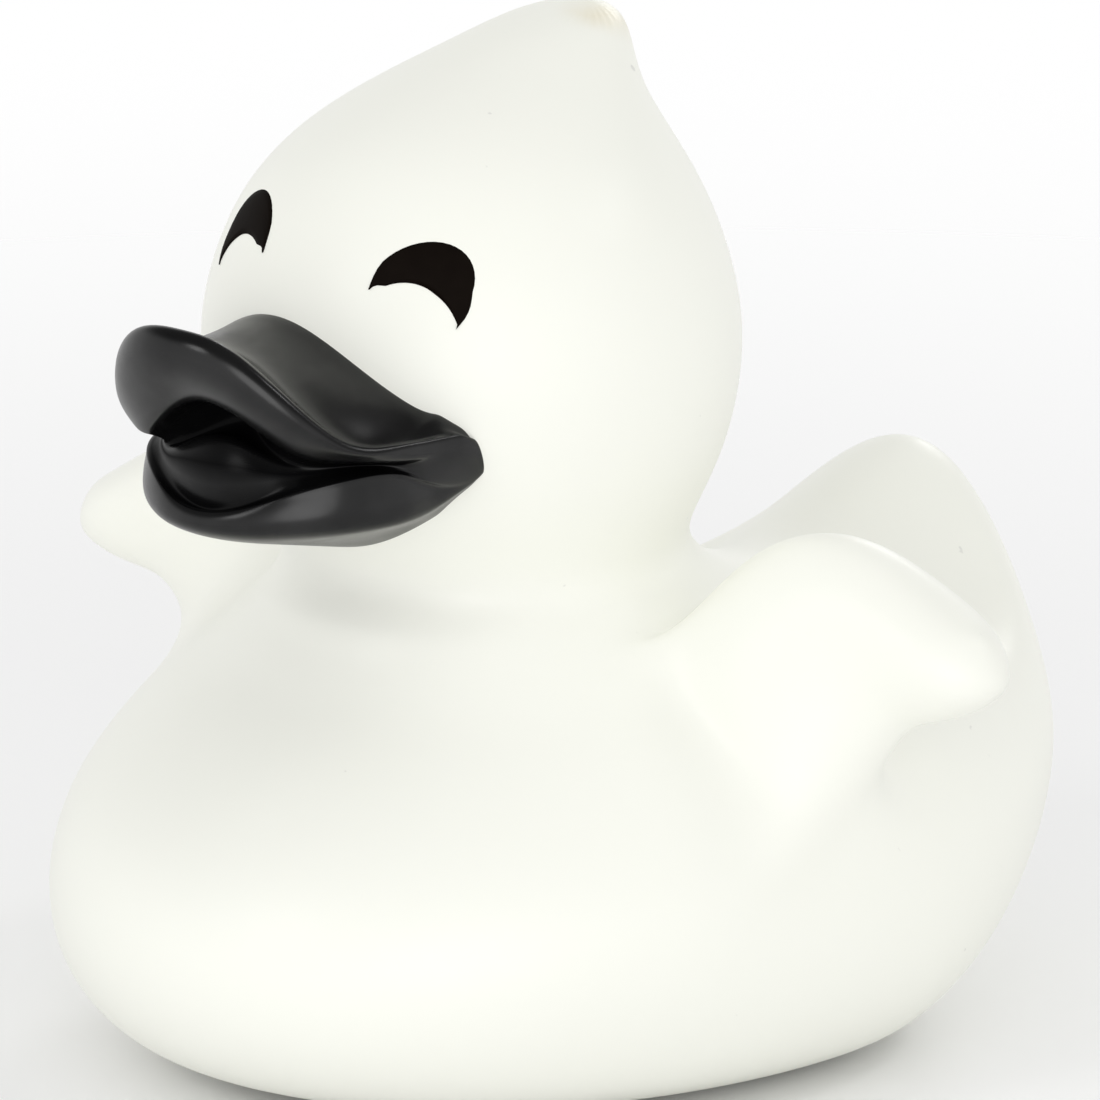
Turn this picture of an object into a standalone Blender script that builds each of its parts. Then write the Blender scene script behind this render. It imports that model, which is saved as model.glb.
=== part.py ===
# Bath duck in hollow moulded vinyl. Body, tail, neck, head, crest, bill and raised wings are one skin.
# Metres, +Z up. The duck looks along -Y, and its own left side is +X.

import math

import bmesh
import bpy
from mathutils import Matrix, Vector
from mathutils.bvhtree import BVHTree

MM = 0.001

# Skin
WALL = 2.2 * MM
VENT_RADIUS = 2.0 * MM
VENT_SETBACK = 10.0 * MM
VENT_DEPTH = 6 * WALL
VENT_SEGMENTS = 24

# Body
BODY_WIDTH = 77.0 * MM
CHEST_REACH = 47.5 * MM
REAR_REACH = 44.5 * MM
SHOULDER_HEIGHT = 42.0 * MM
TAIL_HEIGHT = 41.4 * MM
NECK_SETBACK = -11.0 * MM

# Head
HEAD_WIDTH = 44.8 * MM
HEAD_LENGTH = 44.8 * MM
HEAD_SETBACK = -12.4 * MM
HEAD_HEIGHT = 45.0 * MM

# Wings: the shares are of the sections' sideways and upward distances and of their lead
WING_THICKNESS = 11.0 * MM
WING_SETBACK = -4.6 * MM
LEFT_WING_LIFT = math.radians(0.0)
RIGHT_WING_LIFT = math.radians(-4.5)
LEFT_WING_SHARES = (1.0, 1.0, 1.0)
RIGHT_WING_SHARES = (0.91, 0.89, -0.5)

# Turns to the duck's own right, as the photo shows them
HEAD_TURN = math.radians(-5.0)
BILL_TURN = math.radians(-1.0)
BILL_ROLL = math.radians(1.5)
RIM_SWAY = math.radians(3.0)

# Bill: its round tip has its centre BILL_LEAD in front of the face
BILL_LEAD = 1.5 * MM
BILL_RADIUS = 13.7 * MM
JAW_RADIUS = 10.8 * MM
JAW_INSET = 0.4 * MM
JAW_HEIGHT = 51.2 * MM
JAW_LIFT = 0.8 * MM
CHEEK_LENGTH = 8.0 * MM
CHEEK_FLARE = 0.18
CHEEK_SINK = 1.6 * MM
CHEEK_SHARES = (0.3, 0.65, 1.0)
CHEEK_CLOSING = 3.4
CHEEK_ROUNDING = 1.7
CHEEK_DRAW = 0.45
TIP_HEIGHT = 68.6 * MM
RIM_HEIGHT = 58.4 * MM
RIM_FALL = 1.6 * MM
RIM_START = 0.25
RIM_SHARPNESS = 1.25
LIP_HEIGHT = 62.4 * MM
LIP_STEP = 2.2 * MM
LIP_STEP_SPAN = 0.35
LIP_STEP_BEND = 0.8
LIP_BEND = 1.6
CORNER_HEIGHT = 54.9 * MM
CORNER_GAP = 0.3 * MM
GROOVE_HEIGHT = 52.8 * MM
TONGUE_HEIGHT = 57.0 * MM
TONGUE_REACH = 4.6 * MM
TONGUE_SPREAD = 6.2 * MM

# Bill's edge on the face: half width, height at the middle and falls towards the cheek and along it
MARGIN_HALF_WIDTH = 14.9 * MM
MARGIN_INSET = 2.0 * MM
MARGIN_HEIGHT = 67.2 * MM
MARGIN_FALLS = (6.8 * MM, 3.4 * MM)
MARGIN_PROUD = 0.9 * MM
THROAT_INSET = 3.6 * MM
THROAT_HEIGHT = 46.0 * MM
THROAT_RISES = (4.6 * MM, 2.4 * MM)
THROAT_PROUD = 0.7 * MM

# Rows of the bill's cut, in mm. Saddle: share of the way from the edge to the ridge, then drop and drop at
# the front. Edges: share of the half width, height from the edge and depth into the face.
SADDLE_ROWS = ((0.35, 0.2, 0.8), (0.75, 0.3, 1.3))
TOP_EDGE_ROWS = ((0.75, -4.0, 4.0), (0.97, 0.7, 1.2))
UNDER_EDGE_ROWS = ((0.97, -0.4, 1.2), (0.75, 3.0, 4.0))

# Reach and reach at the front, then share of the height from the lower line to the upper, lift and lift at
# the front. Lip rows lie between the lip and the rim, jaw rows between the jaw's widest line and its lip.
LIP_ROWS = (
    (-0.9, -1.7, 1.0, -0.5, 0.0),
    (-0.3, -0.9, 1.0, 0.0, 0.0),
    (0.0, -0.1, 1.0, -0.6, -0.5),
    (0.0, -0.1, 0.5, 0.0, -0.2),
    (-0.2, -1.5, 0.0, 0.4, 0.0),
)
JAW_ROWS = (
    (-0.5, 0.0, 1.0, -0.2, 0.0),
    (-0.1, 0.0, 0.55, 0.0, 0.0),
    (0.0, 0.0, 0.0, -0.1, 0.0),
    (-0.7, -1.3, 0.0, -1.0, -0.3),
)

# Inside the mouth: reach and reach at the front, lift and lift at the front, and the place that the row
# takes between the lips where the mouth is shut.
PALATE_ROWS = ((-1.2, -2.0, -0.1, 0.0, 0.0), (-3.0, -2.6, 0.0, 0.9, 0.12), (-3.8, -6.8, 0.0, -1.5, 0.25))
TONGUE_ROWS = ((-0.9, 0.0, -0.9, 0.0, 0.38), (0.0, 0.0, 0.0, 0.0, 0.5))
FLOOR_ROWS = ((-2.2, -0.8, 0.2, 1.2, 0.6), (-1.9, 0.0, 0.0, 0.1, 0.7), (-1.5, 0.0, 0.0, -0.9, 0.82),
              (-1.0, 0.0, 0.0, 0.0, 1.0))

# Eyes: a crescent between an outer arc and an inner one, each centre given sideways and up
EYE_SPREAD = 10.3 * MM
EYE_HEIGHT = 70.1 * MM
EYE_RADIUS = 3.8 * MM
EYE_HOLLOW_RADIUS = 3.5 * MM
EYE_HOLLOW_SHIFT = (-1.2 * MM, -2.8 * MM)
EYE_STEPS = 14
PAINT_STEP = 0.25 * MM

SEGMENTS = 32
CAVITY_RINGS = slice(0, None, 2)
WING_ROWS = range(5, 11)
WING_COLUMNS = range(6, 9)

# Body rows from the base up: front reach, front height, side reach, side height, rear reach, rear height,
# as shares of the driving sizes, then how far the row has moved to the neck's middle,
# then how tightly the rear's height is gathered to the centre line.
BODY_ROWS = (
    (0.600, 0.000, 0.590, 0.000, 0.510, 0.000, 0.00, 2.0),
    (0.830, 0.035, 0.780, 0.034, 0.578, 0.052, 0.00, 2.0),
    (0.960, 0.115, 0.900, 0.118, 0.675, 0.158, 0.00, 2.0),
    (1.035, 0.235, 0.983, 0.235, 0.812, 0.302, 0.00, 2.0),
    (1.042, 0.375, 1.010, 0.375, 0.935, 0.460, 0.00, 2.0),
    (0.982, 0.515, 0.985, 0.520, 1.020, 0.625, 0.00, 2.5),
    (0.868, 0.635, 0.900, 0.645, 1.042, 0.790, 0.00, 3.5),
    (0.763, 0.727, 0.800, 0.740, 1.057, 0.938, 0.05, 4.5),
    (0.672, 0.796, 0.708, 0.800, 1.038, 1.032, 0.15, 6.0),
    (0.598, 0.853, 0.630, 0.858, 0.925, 0.985, 0.30, 7.0),
    (0.525, 0.901, 0.553, 0.905, 0.765, 0.840, 0.50, 6.0),
    (0.452, 0.945, 0.490, 0.945, 0.590, 0.870, 0.75, 4.0),
    (0.382, 0.980, 0.440, 0.980, 0.450, 0.960, 0.95, 2.0),
)
FLANK_DIP = 6.5 * MM
TAIL_TWIST = 1.0 * MM

# Head rows up from the neck: height as a share of HEAD_HEIGHT, girth as a share of the half width and
# half length, and how far the row leans back from the head's middle, as a share of the half length.
HEAD_ROWS = (
    (0.040, 0.735, 0.070),
    (0.125, 0.830, 0.045),
    (0.215, 0.930, 0.015),
    (0.330, 0.995, 0.003),
    (0.453, 1.010, 0.000),
    (0.576, 0.955, 0.005),
    (0.690, 0.860, 0.015),
    (0.790, 0.707, 0.062),
    (0.865, 0.520, 0.182),
    (0.925, 0.348, 0.388),
    (0.975, 0.215, 0.545),
)
CREST_LEAN = 0.66

# Wing sections from the root out: top edge and bottom edge as sideways and upward distances from the
# middle of the root, then thickness as a share of WING_THICKNESS and distance ahead of the wing's line.
WING_SECTIONS = (
    (-5.8, 12.5, 10.0, -2.8, 1.20, 3.6),
    (-1.5, 17.6, 11.8, 1.8, 1.06, 1.8),
    (5.5, 19.5, 13.6, 3.8, 0.98, 0.5),
    (12.2, 16.8, 17.5, 4.6, 0.95, 0.0),
    (17.5, 13.8, 20.8, 6.6, 0.85, 0.0),
)
WING_ROOT = Vector((28.0 * MM, 0.0, 29.5 * MM))
WING_TIP = (22.6, 10.4)


def make_material(name, color, roughness):
    material = bpy.data.materials.new(name)
    material.use_nodes = True
    shader = material.node_tree.nodes["Principled BSDF"]
    shader.inputs["Base Color"].default_value = (*color, 1.0)
    shader.inputs["Roughness"].default_value = roughness
    shader.inputs["Metallic"].default_value = 0.0
    return material


def make_object(name, bm, material):
    bmesh.ops.recalc_face_normals(bm, faces=bm.faces)
    mesh = bpy.data.meshes.new(name)
    bm.to_mesh(mesh)
    bm.free()
    mesh.materials.append(material)
    mesh.shade_smooth()
    obj = bpy.data.objects.new(name, mesh)
    bpy.context.scene.collection.objects.link(obj)
    return obj


def hide_guide(obj):
    obj.hide_render = True
    obj.display_type = 'WIRE'


def body_point(row, turn):
    front_reach, front_height, side_reach, side_height, rear_reach, rear_height, shift, gather = row
    ahead = -math.cos(turn)
    x = side_reach * BODY_WIDTH / 2 * math.sin(turn)
    side_z = side_height * SHOULDER_HEIGHT
    if ahead <= 0.0:
        y = front_reach * CHEST_REACH * ahead
        z = side_z + (front_height * SHOULDER_HEIGHT - side_z) * ahead ** 2
    else:
        y = rear_reach * REAR_REACH * ahead
        z = side_z + (rear_height * TAIL_HEIGHT - side_z) * ahead ** gather
        z -= FLANK_DIP * (gather - 2) * ahead ** 2 * (1 - ahead ** 2)
        z += TAIL_TWIST * (gather - 2) * ahead ** 2 * math.sin(turn)
    return Vector((x, y + shift * NECK_SETBACK, z))


def head_point(row, turn):
    height, girth, lean = row
    x = girth * HEAD_WIDTH / 2 * math.sin(turn)
    y = HEAD_SETBACK + (lean - girth * math.cos(turn)) * HEAD_LENGTH / 2
    return Vector((x, y, SHOULDER_HEIGHT + height * HEAD_HEIGHT))


def head_front(x, z):
    """Depth of the face at a sideways distance and a height."""
    share = (z - SHOULDER_HEIGHT) / HEAD_HEIGHT
    above = next(i for i, row in enumerate(HEAD_ROWS) if row[0] >= share)
    low, high = HEAD_ROWS[above - 1], HEAD_ROWS[above]
    part = (share - low[0]) / (high[0] - low[0])
    girth = low[1] + part * (high[1] - low[1])
    lean = low[2] + part * (high[2] - low[2])
    across = min(abs(x) / (girth * HEAD_WIDTH / 2), 0.98)
    return HEAD_SETBACK + (lean - girth * math.sqrt(1.0 - across ** 2)) * HEAD_LENGTH / 2


def add_rings(bm):
    turns = [2 * math.pi * i / SEGMENTS for i in range(SEGMENTS)]
    rings = [[bm.verts.new(body_point(row, turn)) for turn in turns] for row in BODY_ROWS]
    rings += [[bm.verts.new(head_point(row, turn)) for turn in turns] for row in HEAD_ROWS]
    return rings


def close_fan(bm, ring, pole):
    for i, vert in enumerate(ring):
        bm.faces.new((vert, ring[(i + 1) % len(ring)], pole))


def join_loops(bm, lower, upper):
    for i in range(len(lower)):
        after = (i + 1) % len(lower)
        bm.faces.new((lower[i], lower[after], upper[after], upper[i]))


def wing_patch(side):
    """Columns of the wing's root in the skin, front edge first, for the left side or the right."""
    return [(side * column) % SEGMENTS for column in WING_COLUMNS]


def inside_patch(row, column):
    if row not in WING_ROWS[:-1]:
        return False
    after = (column + 1) % SEGMENTS
    return any(column in patch and after in patch for patch in (wing_patch(1), wing_patch(-1)))


def root_loop(rings, side):
    """Points of the skin round the wing's root, from its top and on over the rear edge."""
    front, middle, rear = wing_patch(side)
    loop = [rings[WING_ROWS[-1]][middle]]
    loop += [rings[row][rear] for row in reversed(WING_ROWS)]
    loop += [rings[WING_ROWS[0]][middle]]
    loop += [rings[row][front] for row in WING_ROWS]
    return loop


def wing_spot(across, up, lift, side, ahead=0.0):
    reach, rise, lead = LEFT_WING_SHARES if side > 0 else RIGHT_WING_SHARES
    x = (across * math.cos(lift) - up * math.sin(lift)) * reach * MM
    z = (across * math.sin(lift) + up * math.cos(lift)) * rise * MM
    return Vector((side * (WING_ROOT.x + x), WING_SETBACK - ahead * lead * MM, WING_ROOT.z + z))


def cap_wing(bm, loop, middle, half, tip):
    """Closes the wing's end with a grid of faces whose middle line swells out to the tip."""
    rows = len(WING_ROWS)
    ridge = [loop[0]]
    for number in range(2, rows):
        angle = 2 * math.pi * number / len(loop)
        ridge.append(bm.verts.new(middle + half * math.cos(angle) + (tip - middle) * math.sin(angle)))
    ridge.append(loop[rows + 1])
    rear = loop[1:rows + 1]
    front = list(reversed(loop[rows + 2:]))
    for edge in (rear, front):
        for i in range(rows - 1):
            bm.faces.new((ridge[i], edge[i], edge[i + 1], ridge[i + 1]))


def add_wing(bm, rings, side, lift):
    loop = root_loop(rings, side)
    for number, (top_x, top_z, low_x, low_z, thick, ahead) in enumerate(WING_SECTIONS):
        turn = lift * min(1.0, (number + 1) / 3)
        top = wing_spot(top_x, top_z, turn, side, ahead)
        low = wing_spot(low_x, low_z, turn, side, ahead)
        half = (top - low) / 2
        depth = Vector((0.0, thick * WING_THICKNESS / 2, 0.0))
        ring = []
        for i in range(len(loop)):
            angle = 2 * math.pi * i / len(loop)
            spot = (top + low) / 2 + half * math.cos(angle) + depth * math.sin(angle)
            ring.append(bm.verts.new(spot))
        join_loops(bm, loop, ring)
        loop = ring
    cap_wing(bm, loop, (top + low) / 2, half, wing_spot(*WING_TIP, lift, side))


def skin_cage(winged=True, crest_rows=len(HEAD_ROWS)):
    bm = bmesh.new()
    rings = add_rings(bm)
    rings = rings[:len(BODY_ROWS) + crest_rows]
    if not winged:
        rings = rings[CAVITY_RINGS]
    for row in range(len(rings) - 1):
        for column in range(SEGMENTS):
            if winged and inside_patch(row, column):
                continue
            after = (column + 1) % SEGMENTS
            corners = (rings[row][column], rings[row][after], rings[row + 1][after], rings[row + 1][column])
            bm.faces.new(corners)
    base = bm.verts.new((0.0, 0.0, 0.0))
    close_fan(bm, rings[0], base)
    if crest_rows == len(HEAD_ROWS):
        crest_y = HEAD_SETBACK + CREST_LEAN * HEAD_LENGTH / 2
        close_fan(bm, rings[-1], bm.verts.new((0.0, crest_y, SHOULDER_HEIGHT + HEAD_HEIGHT)))
    else:
        bm.faces.new(rings[-1])
    if winged:
        add_wing(bm, rings, 1, LEFT_WING_LIFT)
        add_wing(bm, rings, -1, RIGHT_WING_LIFT)
    bmesh.ops.delete(bm, geom=[v for v in bm.verts if not v.link_faces], context='VERTS')
    crease = bm.edges.layers.float.new("crease_edge")
    for edge in bm.edges:
        if all(vert.co.z == 0.0 for vert in edge.verts) and base not in edge.verts:
            edge[crease] = 1.0
    return bm


def make_skin(vinyl):
    duck = make_object("duck", skin_cage(), vinyl)
    add_levels(duck)
    return duck


def add_levels(obj):
    smooth = obj.modifiers.new("round", 'SUBSURF')
    smooth.levels = 1
    smooth.render_levels = 1


def make_cavity(vinyl):
    bm = skin_cage(winged=False, crest_rows=len(HEAD_ROWS) - 2)
    bmesh.ops.recalc_face_normals(bm, faces=bm.faces)
    bm.normal_update()
    shifts = [(vert, vert.normal * WALL * vert.calc_shell_factor()) for vert in bm.verts]
    for vert, shift in shifts:
        vert.co -= shift
    cavity = make_object("cavity", bm, vinyl)
    hide_guide(cavity)
    return cavity


def make_vent(vinyl):
    bm = bmesh.new()
    bmesh.ops.create_cone(bm, cap_ends=True, segments=VENT_SEGMENTS, radius1=VENT_RADIUS, radius2=VENT_RADIUS,
                          depth=VENT_DEPTH)
    bmesh.ops.translate(bm, verts=bm.verts, vec=(0.0, VENT_SETBACK, 0.0))
    vent = make_object("vent", bm, vinyl)
    hide_guide(vent)
    return vent


def bill_stations():
    """Angle round the bill and set-back into the cheek, from the right cheek by the tip to the left."""
    quarter = math.pi / 2
    arc = [(quarter * step / 4, 0.0) for step in range(-4, 5)]
    cheeks = [CHEEK_LENGTH * share for share in CHEEK_SHARES]
    return [(-quarter, back) for back in reversed(cheeks)] + arc + [(quarter, back) for back in cheeks]


def bill_spot(angle, back, radius, z):
    radius += back * CHEEK_FLARE
    middle = HEAD_SETBACK - HEAD_LENGTH / 2 - BILL_LEAD + back
    return Vector((radius * math.sin(angle), middle - radius * math.cos(angle), z))


def face_spot(x, z, proud):
    return Vector((x, head_front(x, z) - proud, z))


def edge_spots(x, z, rows):
    return [face_spot(x * share, z + lift * MM, -depth * MM) for share, lift, depth in rows]


def saddle_spots(top, ridge, front):
    spots = []
    for share, drop, front_drop in SADDLE_ROWS:
        spots.append(top.lerp(ridge, share) - Vector((0.0, 0.0, (drop + front_drop * front) * MM)))
    return spots


def band_spots(angle, back, radius, low, high, rows):
    front = max(math.cos(angle), 0.0)
    spots = []
    for reach, front_reach, share, lift, front_lift in rows:
        z = low + (high - low) * share + (lift + front_lift * front) * MM
        spots.append(bill_spot(angle, back, radius + (reach + front_reach * front) * MM, z))
    return spots


def mouth_spots(angle, back, radius, height, rows, shut):
    """Points inside the mouth, which go to the cheek's surface between the lips as the mouth shuts."""
    front = max(math.cos(angle), 0.0)
    lip, jaw_lip, gape = shut
    spots = []
    for reach, front_reach, lift, front_lift, share in rows:
        spot = bill_spot(angle, back, radius + (reach + front_reach * front) * MM,
                         height + (lift + front_lift * front) * MM)
        closed = bill_spot(angle, back, BILL_RADIUS, lip + (jaw_lip - lip) * share)
        spots.append(closed.lerp(spot, gape))
    return spots


def rim_height(angle, cheek):
    rise = min(max((math.cos(angle + RIM_SWAY) - RIM_START) / (1.0 - RIM_START), 0.0), 1.0)
    rise = (rise * rise * (3.0 - 2.0 * rise)) ** RIM_SHARPNESS
    return RIM_HEIGHT + (TIP_HEIGHT - RIM_HEIGHT) * rise - RIM_FALL * cheek


def lip_height(front, gape):
    """The upper lip rises fast from the mouth's corner, and again towards the tip."""
    step = LIP_STEP * min(1.0, front / LIP_STEP_SPAN) ** LIP_STEP_BEND
    rest = LIP_HEIGHT - CORNER_HEIGHT - CORNER_GAP - LIP_STEP
    along = max(0.0, (front - LIP_STEP_SPAN) / (1.0 - LIP_STEP_SPAN))
    return CORNER_HEIGHT + CORNER_GAP * gape + step + rest * along ** LIP_BEND


def bill_profile(angle, back):
    """One cut through the bill: over the top to the lip, into the mouth, and out over the lower lip."""
    front = max(math.cos(angle), 0.0)
    side = abs(math.sin(angle))
    hand = math.copysign(1.0, angle) if front < 1.0 else 0.0
    cheek = back / CHEEK_LENGTH
    gape = max(0.0, 1.0 - CHEEK_CLOSING * cheek)
    lip = lip_height(front, gape)
    jaw_lip = GROOVE_HEIGHT + (CORNER_HEIGHT - GROOVE_HEIGHT - CORNER_GAP) * (1.0 - front ** 4)
    jaw = JAW_RADIUS + (BILL_RADIUS - JAW_INSET - JAW_RADIUS) * side ** 4
    margin_x = hand * (MARGIN_HALF_WIDTH - MARGIN_INSET * (1.0 - cheek)) * side
    margin = MARGIN_HEIGHT - MARGIN_FALLS[0] * side ** 1.1 - MARGIN_FALLS[1] * cheek ** 1.3
    throat_x = hand * (MARGIN_HALF_WIDTH - THROAT_INSET * (1.0 - cheek)) * side
    throat = THROAT_HEIGHT + THROAT_RISES[0] * side ** 1.6 + THROAT_RISES[1] * cheek
    tongue = TONGUE_REACH + TONGUE_SPREAD * side ** 1.2
    tongue_top = CORNER_HEIGHT + (TONGUE_HEIGHT - CORNER_HEIGHT) * front ** 0.5
    shut = (lip, jaw_lip, gape)
    top = face_spot(margin_x, margin, MARGIN_PROUD)
    under = face_spot(throat_x, throat, THROAT_PROUD)
    band = band_spots(angle, back, BILL_RADIUS, lip, rim_height(angle, cheek), LIP_ROWS)
    rows = edge_spots(margin_x, margin, TOP_EDGE_ROWS) + [top] + saddle_spots(top, band[0], front) + band
    rows += mouth_spots(angle, back, BILL_RADIUS, lip, PALATE_ROWS, shut)
    rows += mouth_spots(angle, back, tongue, tongue_top, TONGUE_ROWS, shut)
    rows += mouth_spots(angle, back, jaw, jaw_lip, FLOOR_ROWS, shut)
    band = band_spots(angle, back, jaw, JAW_HEIGHT + JAW_LIFT * side ** 4, jaw_lip, JAW_ROWS)
    rows += band + [(band[-1] + under) / 2, under] + edge_spots(throat_x, throat, UNDER_EDGE_ROWS)
    return round_cheek(rows, bill_spot(angle, back, BILL_RADIUS, lip), min(1.0, CHEEK_ROUNDING * cheek))


def round_cheek(rows, outer, share):
    """The cut drawn by a share towards one smooth lobe from the top edge to the bottom one."""
    first = len(TOP_EDGE_ROWS)
    last = len(rows) - 1 - len(UNDER_EDGE_ROWS)
    top, under = rows[first], rows[last]
    middle = (top + under) / 2
    swell = Vector((outer.x - middle.x, outer.y - middle.y, 0.0))
    for number in range(first + 1, last):
        turn = math.pi * (number - first) / (last - first)
        lobe = middle + (top - under) / 2 * math.cos(turn) + swell * math.sin(turn) ** 0.8
        rows[number] = rows[number].lerp(lobe, share)
    return rows


def cheek_end(profile):
    """The last cut of a cheek, drawn together and sunk into the face so that the cheek ends rounded."""
    middle = sum(profile, Vector()) / len(profile)
    sink = Vector((0.0, CHEEK_SINK, 0.0))
    return [middle.lerp(spot, CHEEK_DRAW) + sink for spot in profile]


def make_bill(paint):
    bm = bmesh.new()
    loops = []
    profiles = [bill_profile(angle, back) for angle, back in bill_stations()]
    profiles = [cheek_end(profiles[0])] + profiles + [cheek_end(profiles[-1])]
    for profile in profiles:
        loops.append([bm.verts.new(spot) for spot in profile])
    for first, second in zip(loops, loops[1:]):
        join_loops(bm, first, second)
    bm.faces.new(loops[0])
    bm.faces.new(loops[-1])
    turn_with_head(bm)
    bill = make_object("bill", bm, paint)
    add_levels(bill)
    hide_guide(bill)
    return bill


def turn_with_head(bm):
    bmesh.ops.rotate(bm, verts=bm.verts, cent=(0.0, HEAD_SETBACK, CORNER_HEIGHT),
                     matrix=Matrix.Rotation(BILL_TURN, 3, 'Z') @ Matrix.Rotation(-BILL_ROLL, 3, 'Y'))


def crescent_pairs():
    """Pairs of an outer point and an inner point, from the crescent's inner corner to its outer one."""
    outer_turn = (math.radians(172), math.radians(-44))
    inner_turn = (math.radians(122), math.radians(4))
    pairs = []
    for step in range(EYE_STEPS + 1):
        share = step / EYE_STEPS
        outer = outer_turn[0] + share * (outer_turn[1] - outer_turn[0])
        inner = inner_turn[0] + share * (inner_turn[1] - inner_turn[0])
        outer_spot = (EYE_RADIUS * math.cos(outer), EYE_RADIUS * math.sin(outer))
        inner_spot = (EYE_HOLLOW_SHIFT[0] + EYE_HOLLOW_RADIUS * math.cos(inner),
                      EYE_HOLLOW_SHIFT[1] + EYE_HOLLOW_RADIUS * math.sin(inner))
        pairs.append((outer_spot, inner_spot))
    return pairs


def make_eye(name, side, face, paint):
    """A thin crescent of paint that follows the face, sunk a little into it."""
    turn = (Matrix.Translation((0.0, HEAD_SETBACK, 0.0)) @ Matrix.Rotation(HEAD_TURN, 4, 'Z')
            @ Matrix.Translation((0.0, -HEAD_SETBACK, 0.0)))
    bm = bmesh.new()
    loops = []
    for outer, inner in crescent_pairs():
        loop = []
        for (across, up), proud in ((outer, True), (inner, True), (inner, False), (outer, False)):
            start = Vector((side * (EYE_SPREAD + across), -HEAD_LENGTH * 2, EYE_HEIGHT + up))
            start = turn @ start
            hit = face.ray_cast(start, turn.to_3x3() @ Vector((0.0, 1.0, 0.0)))[0]
            hit.y += -PAINT_STEP if proud else WALL / 2
            loop.append(bm.verts.new(hit))
        loops.append(loop)
    for first, second in zip(loops, loops[1:]):
        join_loops(bm, first, second)
    bm.faces.new(loops[0])
    bm.faces.new(loops[-1])
    eye = make_object(name, bm, paint)
    hide_guide(eye)
    return eye


def find_face(duck):
    """The rounded skin as it stands before anything is joined to it."""
    view = bpy.context.evaluated_depsgraph_get()
    return BVHTree.FromObject(duck, view)


def cut_or_join(duck, tool, operation):
    step = duck.modifiers.new(tool.name, 'BOOLEAN')
    step.operation = operation
    step.solver = 'EXACT'
    step.object = tool
    step.material_mode = 'TRANSFER'
    step.use_self = True


def main():
    for obj in list(bpy.data.objects):
        bpy.data.objects.remove(obj)
    vinyl = make_material("white_vinyl", (0.93, 0.93, 0.90), 0.45)
    paint = make_material("black_paint", (0.012, 0.012, 0.013), 0.3)
    duck = make_skin(vinyl)
    face = find_face(duck)
    cut_or_join(duck, make_bill(paint), 'UNION')
    cut_or_join(duck, make_eye("left_eye", 1, face, paint), 'UNION')
    cut_or_join(duck, make_eye("right_eye", -1, face, paint), 'UNION')
    cut_or_join(duck, make_cavity(vinyl), 'DIFFERENCE')
    cut_or_join(duck, make_vent(vinyl), 'DIFFERENCE')


main()
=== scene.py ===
import math
import bmesh
import bpy
from mathutils import Matrix, Vector
from mathutils.bvhtree import BVHTree


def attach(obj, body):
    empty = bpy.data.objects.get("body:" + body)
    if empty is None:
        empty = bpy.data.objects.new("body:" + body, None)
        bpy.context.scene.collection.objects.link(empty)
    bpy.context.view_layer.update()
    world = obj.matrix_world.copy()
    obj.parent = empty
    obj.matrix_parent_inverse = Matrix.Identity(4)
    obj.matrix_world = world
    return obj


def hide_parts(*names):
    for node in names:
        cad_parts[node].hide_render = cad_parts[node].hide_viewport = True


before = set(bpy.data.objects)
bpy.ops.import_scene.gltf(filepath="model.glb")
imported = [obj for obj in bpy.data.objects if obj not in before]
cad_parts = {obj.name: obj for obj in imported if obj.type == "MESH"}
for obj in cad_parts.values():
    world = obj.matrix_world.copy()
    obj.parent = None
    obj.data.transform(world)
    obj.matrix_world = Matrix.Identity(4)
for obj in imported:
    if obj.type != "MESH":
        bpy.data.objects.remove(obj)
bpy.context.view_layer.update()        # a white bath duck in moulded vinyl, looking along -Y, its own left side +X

mm = 0.001


# Loops of points, extruded in edit mode. Extruding copies a point's number, so each keeps its own place.

def startLoop(name, points):
    bpy.ops.object.select_all(action='DESELECT')
    bpy.ops.mesh.primitive_circle_add(vertices=len(points), radius=10 * mm, fill_type='NOTHING')
    piece = bpy.context.object
    piece.name = name
    piece.data.name = name
    bpy.ops.object.mode_set(mode='EDIT')
    bpy.ops.mesh.select_all(action='SELECT')
    mesh = bmesh.from_edit_mesh(piece.data)
    mesh.verts.layers.int.new("order")
    order = mesh.verts.layers.int["order"]
    mesh.verts.ensure_lookup_table()
    for number, vert in enumerate(mesh.verts):
        vert[order] = number
    placePicked(piece, points)
    return piece


def placePicked(piece, points, shift=0):
    mesh = bmesh.from_edit_mesh(piece.data)
    order = mesh.verts.layers.int["order"]
    for vert in mesh.verts:
        if vert.select:
            vert.co = points[vert[order] % len(points)]
            vert[order] += shift
    bmesh.update_edit_mesh(piece.data)


def extrudeLoop(piece, points):
    bpy.ops.mesh.extrude_edges_move()
    placePicked(piece, points, len(points))


def pickPoints(piece, wanted):
    bpy.ops.mesh.select_all(action='DESELECT')
    mesh = bmesh.from_edit_mesh(piece.data)
    order = mesh.verts.layers.int["order"]
    for vert in mesh.verts:
        vert.select_set(vert[order] in wanted)
    mesh.select_flush(True)
    bmesh.update_edit_mesh(piece.data)


def closePoint(piece, point):
    bpy.ops.mesh.extrude_edges_move()
    bpy.ops.mesh.merge(type='CENTER')
    mesh = bmesh.from_edit_mesh(piece.data)
    for vert in mesh.verts:
        if vert.select:
            vert.co = point
    bmesh.update_edit_mesh(piece.data)


def paintPoints(piece, name, values):
    # one value for each point by its number, which the shader reads and the rounding blends
    mesh = bmesh.from_edit_mesh(piece.data)
    mesh.verts.layers.float.new(name)
    layer = mesh.verts.layers.float[name]
    order = mesh.verts.layers.int["order"]
    for vert in mesh.verts:
        vert[layer] = values[vert[order]]
    bmesh.update_edit_mesh(piece.data)


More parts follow.
